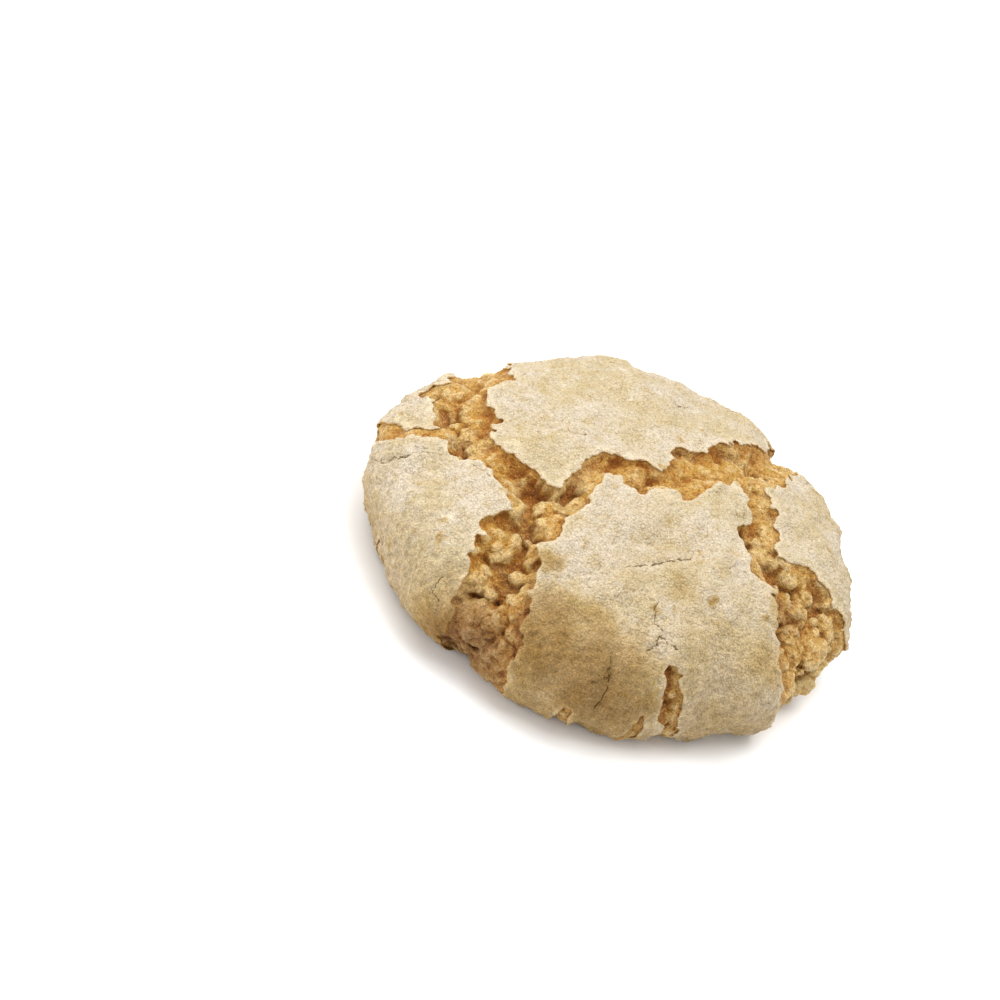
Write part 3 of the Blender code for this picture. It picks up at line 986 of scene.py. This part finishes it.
# %% Where a hairline shows
def hairline_share(tree, skin):
    """High on a hairline: crease - 5 |across + 0.9 fleck - 0.45| + 2.6 dashes."""
    beside = {0: skin["fleck"], 1: 0.9, 2: skin["across"]}
    beside = add(tree, "ShaderNodeMath", beside, operation="MULTIPLY_ADD").outputs[0]
    beside = add(tree, "ShaderNodeMath", {0: beside, 1: 0.45}, operation="SUBTRACT").outputs[0]
    beside = add(tree, "ShaderNodeMath", {0: beside}, operation="ABSOLUTE").outputs[0]
    hairline = {0: beside, 1: -5.0, 2: skin["crease"]}
    hairline = add(tree, "ShaderNodeMath", hairline, operation="MULTIPLY_ADD").outputs[0]
    hairline = {0: skin["dashes"], 1: 2.6, 2: hairline}
    return add(tree, "ShaderNodeMath", hairline, operation="MULTIPLY_ADD").outputs[0]


print("a hairline shows from", CRUST_TINTS[-1][1], "up")

# %% [markdown]
# The finish puts these together. Its specks grow stronger down the flank, where
# the crust is coarser, and two layers of bump stand for flour and sugar.

# %% Finish of the crust
def dry_crust():
    """Dried dough: no gloss, a little light passing through, fine bumps of flour and sugar."""
    material, tree, shader, place = blank("baked dough crust, dried to a matte skin")
    skin = patterns(tree, place, CRUST_NOISES, CRUST_SPOTS, CRUST_STORED)
    height = add(tree, "ShaderNodeSeparateXYZ", {"Vector": place}).outputs["Z"]
    pits = {0: skin["crowd"], 1: skin["pores"]}
    skin["pits"] = add(tree, "ShaderNodeMath", pits, operation="ADD").outputs[0]
    low = {0: skin["stain"], 1: -9.0, 2: height}
    skin["low"] = add(tree, "ShaderNodeMath", low, operation="MULTIPLY_ADD").outputs[0]
    skin["hairline"] = hairline_share(tree, skin)

    colour = tinted(tree, linear(CRUST_GROUND), skin, CRUST_TINTS)
    # the stains multiply the colour browner: browning, on the low front lobes partly painted shade
    yellowed = {"Value": skin["toast_and_shade"], "From Max": 0.3}
    yellowed = add(tree, "ShaderNodeMapRange", yellowed).outputs["Result"]
    colour = multiplied(tree, colour, [(yellowed, "#fff7dc"), (skin["toast_and_shade"], "#ac8930")])
    darkest_and_palest = []
    for on_crown, on_flank in [(0.95, 0.74), (1.05, 1.27)]:
        fall = {"Value": height, "From Min": 24.0, "From Max": 13.0, "To Min": on_crown, "To Max": on_flank}
        darkest_and_palest.append(add(tree, "ShaderNodeMapRange", fall).outputs["Result"])
    colour = speckled(tree, colour, skin["speck"], 0.3, 0.7, *darkest_and_palest)
    colour = speckled(tree, colour, skin["grit"], 0.2, 0.8, 0.76, 1.26)
    tree.links.new(colour, shader.inputs["Base Color"])

    relief = {0: skin["grain"], 1: 0.6, 2: skin["fleck"]}
    relief = add(tree, "ShaderNodeMath", relief, operation="MULTIPLY_ADD").outputs[0]
    relief = {0: skin["sugar"], 1: -0.7, 2: relief}
    relief = add(tree, "ShaderNodeMath", relief, operation="MULTIPLY_ADD").outputs[0]
    grains_up = {"Strength": 1.0, "Distance": 0.32 * MM, "Height": relief}
    first = add(tree, "ShaderNodeBump", grains_up).outputs["Normal"]
    mottle_up = {"Strength": 0.5, "Distance": 0.4 * MM, "Height": skin["mottle"], "Normal": first}
    second = add(tree, "ShaderNodeBump", mottle_up).outputs["Normal"]
    tree.links.new(second, shader.inputs["Normal"])
    shader.inputs["Roughness"].default_value = 0.82
    shader.inputs["IOR"].default_value = 1.42
    shader.inputs["Specular IOR Level"].default_value = 0.3
    shader.inputs["Subsurface Weight"].default_value = 0.10
    shader.inputs["Subsurface Radius"].default_value = (1.0, 0.6, 0.3)
    shader.inputs["Subsurface Scale"].default_value = 0.6 * MM
    return material


crust_finish = dry_crust()
for piece in crust_pieces:
    piece.data.materials.append(crust_finish)
print("crust nodes:", len(crust_finish.node_tree.nodes))

# %% [markdown]
# ### Torn crumb
# The crumb is moister and holds the brown sugar, so it is golden. Painted shade
# makes it deep orange brown in its pits and where a plate leans over it, and a
# painted highlight makes it nearly cream on the tips of its grains. The colour
# follows values stored in the mesh: how high a point stands on its grain, how
# far down in the tear it lies, how browned it is, partly painted shade, how
# dried, and how far a plate leans over it.
#
# The patterns only break that up: batter drifts over 6 mm, meal mottles it at
# 1.5 mm, and sugar is 0.45 mm. Flour is finer than the picture can show, so its
# grain is drawn at 0.3 mm.

# %% Patterns of the crumb
# size, detail, roughness, distortion
CRUMB_NOISES = {
    "drift": (6.0, 2.0, 0.5, 0.0), "mottle": (1.5, 5.0, 0.65, 0.0), "grain": (0.30, 3.0, 0.7, 0.0),
}
CRUMB_SPOTS = {"sugar": 0.45}
print("values stored for the crumb:", list(crumb_values))

# %% [markdown]
# Gold comes in as a point stands up and cream as it stands up further, a painted
# highlight, and deep brown as it sinks, painted shade. Sugar and flour only
# speckle that. Where the crumb browned, and near a torn edge where a plate leans
# over it, a multiplied tint darkens it and keeps the grain: browning that is
# partly painted shade, and painted shade under the plate.

# %% Tints of the crumb
CRUMB_GROUND = "#a86a12"
# what it follows, start, end, most, tint
CRUMB_TINTS = [
    # the uneven rows paint a highlight on the tips of the grains
    ("uneven", 0.45, 0.90, 0.80, "#c0943f"), ("uneven", 0.90, 1.35, 0.75, "#dcc28b"),
    ("drift", 0.50, 0.68, 0.50, "#d9be83"), ("dried", 0.0, 1.0, 0.12, "#d6b87e"),
    # the sunk and deep rows paint shade into the hollows
    ("sunk", 0.30, 0.85, 0.62, "#a86814"), ("deep", 0.25, 0.85, 0.42, "#96560c"),
    ("sugar", 0.50, 0.85, 0.35, "#8c5c14"), ("grain", 0.57, 0.70, 0.50, "#e8cf98"),
    ("grain", 0.45, 0.30, 0.30, "#8c5a12"),
]
print(len(CRUMB_TINTS), "tints over the crumb's ground colour")

# %% [markdown]
# "Uneven" is how far a point stands up, mottled a little, and it brings in the
# painted highlight. The crumb shines more than the crust and lets more light
# through, because it holds fat and moisture.

# %% Finish of the crumb
def torn_crumb():
    """Moist crumb: soft sheen, light through the grains, painted highlight on tips and shade in hollows."""
    material, tree, shader, place = blank("torn oatmeal crumb, pulled apart while soft")
    crumb = patterns(tree, place, CRUMB_NOISES, CRUMB_SPOTS, crumb_values)
    uneven = {0: crumb["mottle"], 1: 0.8, 2: crumb["raised"]}
    crumb["uneven"] = add(tree, "ShaderNodeMath", uneven, operation="MULTIPLY_ADD").outputs[0]
    colour = tinted(tree, linear(CRUMB_GROUND), crumb, CRUMB_TINTS)
    # painted shade where a plate leans over the crumb; the stains bring browning, on the front lobes partly
    # painted shade
    colour = multiplied(tree, colour, [(crumb["toast_and_shade"], "#b39b84"), (crumb["overhang_shade"], "#eee0c4")])
    colour = speckled(tree, colour, crumb["grain"], 0.2, 0.8, 0.68, 1.60)
    tree.links.new(colour, shader.inputs["Base Color"])

    relief = {0: crumb["sugar"], 1: -0.5, 2: crumb["grain"]}
    relief = add(tree, "ShaderNodeMath", relief, operation="MULTIPLY_ADD").outputs[0]
    grains_up = {"Strength": 1.0, "Distance": 0.8 * MM, "Height": relief}
    first = add(tree, "ShaderNodeBump", grains_up).outputs["Normal"]
    mottle_up = {"Strength": 0.7, "Distance": 0.6 * MM, "Height": crumb["mottle"], "Normal": first}
    second = add(tree, "ShaderNodeBump", mottle_up).outputs["Normal"]
    tree.links.new(second, shader.inputs["Normal"])
    shader.inputs["Roughness"].default_value = 0.5
    shader.inputs["IOR"].default_value = 1.48
    shader.inputs["Specular IOR Level"].default_value = 0.5
    shader.inputs["Subsurface Weight"].default_value = 0.45
    shader.inputs["Subsurface Radius"].default_value = (1.0, 0.6, 0.2)
    shader.inputs["Subsurface Scale"].default_value = 0.6 * MM
    return material


crumb_finish = torn_crumb()
for piece in (*crumb_pieces, fill):
    piece.data.materials.append(crumb_finish)
print("crumb nodes:", len(crumb_finish.node_tree.nodes))

# %% [markdown]
# ### Tray-baked underside
# Against the tray the dough browned evenly, darkest in a ring near the rim where
# the sheet was hottest and paler where steam held it off, in clouds 9 mm across.
# The pores that the steam left are just under a millimetre wide.

# %% Finish of the underside
BASE_NOISES = {"cloud": (9.0, 4.0, 0.5, 0.0), "pore": (0.9, 3.0, 0.5, 0.0)}


def tray_baked():
    """Browned dough, a little glossier than the crust because fat gathered under it."""
    material, tree, shader, place = blank("dough browned against a baking tray")
    base = patterns(tree, place, BASE_NOISES, {}, ["share"])
    colour = tinted(tree, linear("#a9743a"), base, [
        ("cloud", 0.35, 0.70, 1.0, "#c8995c"), ("share", 0.60, 0.97, 1.0, "#8f5c2a"),
        ("pore", 0.60, 0.72, 1.0, "#7a4a1f"),
    ])
    tree.links.new(colour, shader.inputs["Base Color"])
    pores_down = {"Strength": 0.6, "Distance": 0.3 * MM, "Height": base["pore"]}
    bump = add(tree, "ShaderNodeBump", pores_down).outputs["Normal"]
    tree.links.new(bump, shader.inputs["Normal"])
    shader.inputs["Roughness"].default_value = 0.65
    shader.inputs["IOR"].default_value = 1.45
    return material


underside.data.materials.append(tray_baked())
print("underside:", underside.data.materials[0].name)

# %% [markdown]
# ## Joining the pieces to the model
# Every piece rides on the cookie's one body and together they stand for its one
# solid, which stays in the model for weight and contact.

# %% Riding on the solid
for piece in (*crust_pieces, *crumb_pieces, fill, underside):
    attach(piece, "root")
    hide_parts("cookie")
print("pieces on the cookie:", len(crust_pieces) + len(crumb_pieces) + 2)

# %% [markdown]
# ## The white sweep
# The cookie stands on plain white paper, wide enough that its far edge is out of
# sight. Matte paper gives no reflection, only a soft shadow. It is stage and not
# part of the cookie.

# %% The sweep
sweep_mesh = bpy.data.meshes.new("white_sweep")
sweep_mesh.from_pydata([(-3, -3, 0), (3, -3, 0), (3, 3, 0), (-3, 3, 0)], [], [(0, 1, 2, 3)])
sweep = bpy.data.objects.new("white_sweep", sweep_mesh)
bpy.context.scene.collection.objects.link(sweep)
paper, _, paper_shader, _ = blank("matte white studio paper")
paper_shader.inputs["Base Color"].default_value = linear("#f7f7f7")
paper_shader.inputs["Roughness"].default_value = 0.9
sweep_mesh.materials.append(paper)
print("sweep:", round(sweep.dimensions.x), "m across")

# %% [markdown]
# ## The camera
# An ellipse fitted to the outline in the photograph gives the angle of view above
# the cookie's base and how far the cookie is turned in the picture. The distance
# is about what such a close picture is taken from, and the lens then follows from
# how many pixels a millimetre covers.

# %% The camera, as the photograph looks at the cookie
ELEVATION = math.radians(40.8)
ROLL = math.radians(23.5)
DISTANCE = 450.0
PIXELS_PER_MM = 6.138
CENTRE_PIXEL = (612.6, 538.4)
FRAME_PIXELS = 1000
SENSOR = 36.0

toward = np.array([0.0, -math.cos(ELEVATION), math.sin(ELEVATION)])
level_right = np.array([1.0, 0.0, 0.0])
level_up = np.cross(toward, level_right)
camera_right = level_right * math.cos(ROLL) + level_up * math.sin(ROLL)
camera_up = level_up * math.cos(ROLL) - level_right * math.sin(ROLL)
aim = np.array([0.0, 0.0, 9.0]) - MIDDLE
aim = aim + camera_right * (FRAME_PIXELS / 2 - CENTRE_PIXEL[0]) / PIXELS_PER_MM
aim = aim + camera_up * (CENTRE_PIXEL[1] - FRAME_PIXELS / 2) / PIXELS_PER_MM
eye = (aim + toward * DISTANCE) * MM

camera_data = bpy.data.cameras.new("camera")
camera_data.sensor_width = SENSOR
camera_data.lens = PIXELS_PER_MM * DISTANCE * SENSOR / FRAME_PIXELS
camera_data.clip_start = 0.01
camera = bpy.data.objects.new("camera", camera_data)
turned = np.eye(4)
turned[:3, 0], turned[:3, 1], turned[:3, 2], turned[:3, 3] = camera_right, camera_up, toward, eye
camera.matrix_world = Matrix(turned.tolist())
bpy.context.scene.collection.objects.link(camera)
bpy.context.scene.camera = camera
print("lens", round(camera_data.lens, 1), "mm")

# %% [markdown]
# ## The light
# A soft light stands over the right shoulder like a window. Two more look from
# behind, right and left, which leaves a shadow under the near rim and brings out
# the torn edges. A larger one on the left, further off, keeps the crumb there
# from going dark, and the white room does the rest. The crust then keeps its tone
# on top and turns darker towards the lower left, as in the photograph.

# %% Lights and room
def soft_light(name, direction, distance, size, watts):
    """A square area light that looks at the cookie from a heading in the picture's axes: right,
    up and towards the eye. Distance and size are in metres.
    """
    heading = camera_right * direction[0] + camera_up * direction[1] + toward * direction[2]
    heading = heading / np.linalg.norm(heading)
    lamp = bpy.data.lights.new(name, "AREA")
    lamp.shape = "SQUARE"
    lamp.size = size
    lamp.energy = watts
    holder = bpy.data.objects.new(name, lamp)
    side_way = np.cross([0.0, 1.0, 0.0], heading)
    side_way /= np.linalg.norm(side_way)
    pose = np.eye(4)
    pose[:3, 0], pose[:3, 1], pose[:3, 2] = side_way, np.cross(heading, side_way), heading
    pose[:3, 3] = heading * distance
    holder.matrix_world = Matrix(pose.tolist())
    bpy.context.scene.collection.objects.link(holder)


soft_light("window light", (0.50, 0.60, 0.62), 0.6, 0.36, 2.15)
soft_light("light from behind right", (0.44, 0.85, 0.32), 0.6, 0.36, 1.1)
soft_light("light from behind left", (-0.1, 0.95, 0.25), 0.6, 0.36, 1.35)
soft_light("left fill", (-0.9, 0.25, 0.45), 0.8, 0.5, 3.5)

world = bpy.data.worlds.new("white room")
bpy.context.scene.world = world
world.use_nodes = True
world.node_tree.nodes["Background"].inputs["Color"].default_value = linear("#ffffff")
world.node_tree.nodes["Background"].inputs["Strength"].default_value = 0.76
bpy.context.scene.view_settings.view_transform = "Standard"
bpy.context.scene.view_settings.look = "None"
